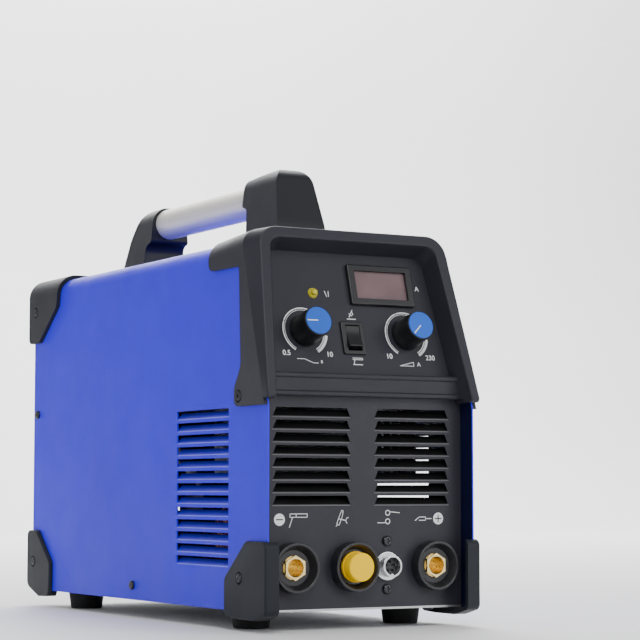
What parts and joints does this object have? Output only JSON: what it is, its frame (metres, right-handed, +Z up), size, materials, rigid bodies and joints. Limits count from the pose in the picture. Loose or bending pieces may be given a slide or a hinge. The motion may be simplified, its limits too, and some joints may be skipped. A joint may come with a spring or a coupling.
{
  "type": "tig welding machine",
  "caption": "Portable inverter TIG and stick welding machine: blue louvred case, black tilted control hood with two dials and a meter, front current sockets and a tube carrying handle.",
  "frame": {"origin": "bottom centre of the whole machine, on the surface its feet stand on", "axes": "+X to the right seen from the front, +Y from front to rear, +Z up"},
  "size_m": [0.1802, 0.459, 0.3485],
  "materials": {
    "blue_paint": "satin blue powder coat",
    "black_paint": "satin black powder coat",
    "grey_zinc": "zinc-plated sheet",
    "hood_plastic": "fine-textured moulding",
    "guard_plastic": "fine-textured moulding",
    "handle_plastic": "fine-textured moulding",
    "rubber": "matt moulded",
    "anodised_aluminium": "satin anodised",
    "screw_steel": "black oxide",
    "bright_steel": "zinc plated",
    "knob_plastic": "moulded",
    "blue_cap": "satin moulded",
    "switch_plastic": "moulded",
    "meter_window": "tinted window",
    "led_lens": "translucent lens",
    "brass": "turned",
    "yellow_cap": "soft moulded",
    "socket_plastic": "moulded",
    "chrome": "plated",
    "circuit_board": "solder mask",
    "heatsink_aluminium": "extruded",
    "ferrite": "sintered",
    "copper": "enamelled wire",
    "capacitor_sleeve": "shrink sleeve",
    "hose": "hose",
    "fan_plastic": "moulded"
  },
  "bodies": {
    "machine": {"base_tray": "grey_zinc", "cover": "blue_paint", "front_panel": "black_paint", "front_hood": "hood_plastic", "hood_band": "hood_plastic", "rear_panel": "black_paint", "front_lower_guard_left": "guard_plastic", "front_lower_guard_right": "guard_plastic", "rear_lower_guard_left": "guard_plastic", "rear_lower_guard_right": "guard_plastic", "rear_upper_guard_left": "guard_plastic", "rear_upper_guard_right": "guard_plastic", "feet": "rubber", "handle_tube": "anodised_aluminium", "handle_front_mount": "handle_plastic", "handle_rear_mount": "handle_plastic", "handle_screws": "bright_steel", "mode_switch_housing": "switch_plastic", "meter_bezel": "switch_plastic", "meter_window": "meter_window", "meter_module": "circuit_board", "indicator_led": "led_lens", "control_board": "circuit_board", "negative_socket_body": "socket_plastic", "negative_socket_insert": "brass", "positive_socket_body": "socket_plastic", "positive_socket_insert": "brass", "gas_outlet_body": "socket_plastic", "gas_outlet_nipple": "brass", "control_socket_shell": "chrome", "control_socket_insert": "socket_plastic", "control_socket_screws": "screw_steel", "fan_frame": "fan_plastic", "fan_screws": "screw_steel", "power_switch_housing": "switch_plastic", "cable_gland": "socket_plastic", "gas_inlet": "brass", "ground_stud": "brass", "inner_shelf": "grey_zinc", "main_board": "circuit_board", "heatsink": "heatsink_aluminium", "transformer_core": "ferrite", "transformer_winding": "copper", "output_reactor": "copper", "capacitors": "capacitor_sleeve", "gas_valve": "bright_steel", "gas_hose": "hose", "case_screws": "screw_steel", "post_time_potentiometer": "bright_steel", "current_potentiometer": "bright_steel"},
    "post_time_dial": {"post_time_knob": "knob_plastic", "post_time_knob_cap": "blue_cap", "post_time_shaft": "bright_steel"},
    "current_dial": {"current_knob": "knob_plastic", "current_knob_cap": "blue_cap", "current_shaft": "bright_steel"},
    "mode_rocker": {"mode_switch_rocker": "switch_plastic"},
    "power_rocker": {"power_switch_rocker": "switch_plastic"},
    "fan_wheel": {"fan_rotor": "fan_plastic"},
    "gas_cap": {"gas_outlet_cap": "yellow_cap"}
  },
  "joints": [
    {"name": "post_time_knob_turn", "type": "hinge", "parent": "machine", "child": "post_time_dial", "pos_m": [-0.043, -0.19914, 0.2145], "axis": [0, 0.962, -0.2731], "range_deg": [-60, 240]},
    {"name": "current_knob_turn", "type": "hinge", "parent": "machine", "child": "current_dial", "pos_m": [0.043, -0.19914, 0.2145], "axis": [0, 0.962, -0.2731], "range_deg": [-15, 285]},
    {"name": "mode_switch_tilt", "type": "hinge", "parent": "machine", "child": "mode_rocker", "pos_m": [-0.0032, -0.19699, 0.20924], "axis": [1, 0, 0], "range_deg": [0, 22]},
    {"name": "power_switch_tilt", "type": "hinge", "parent": "machine", "child": "power_rocker", "pos_m": [-0.038, 0.2045, 0.237], "axis": [-1, 0, 0], "range_deg": [0, 22]},
    {"name": "fan_spin", "type": "hinge", "parent": "machine", "child": "fan_wheel", "pos_m": [0, 0.18599, 0.09], "axis": [0, 1, 0], "continuous": true},
    {"name": "gas_cap_pull", "type": "slide", "parent": "machine", "child": "gas_cap", "axis": [0, -1, 0], "range_m": [0, 0.02]}
  ]
}
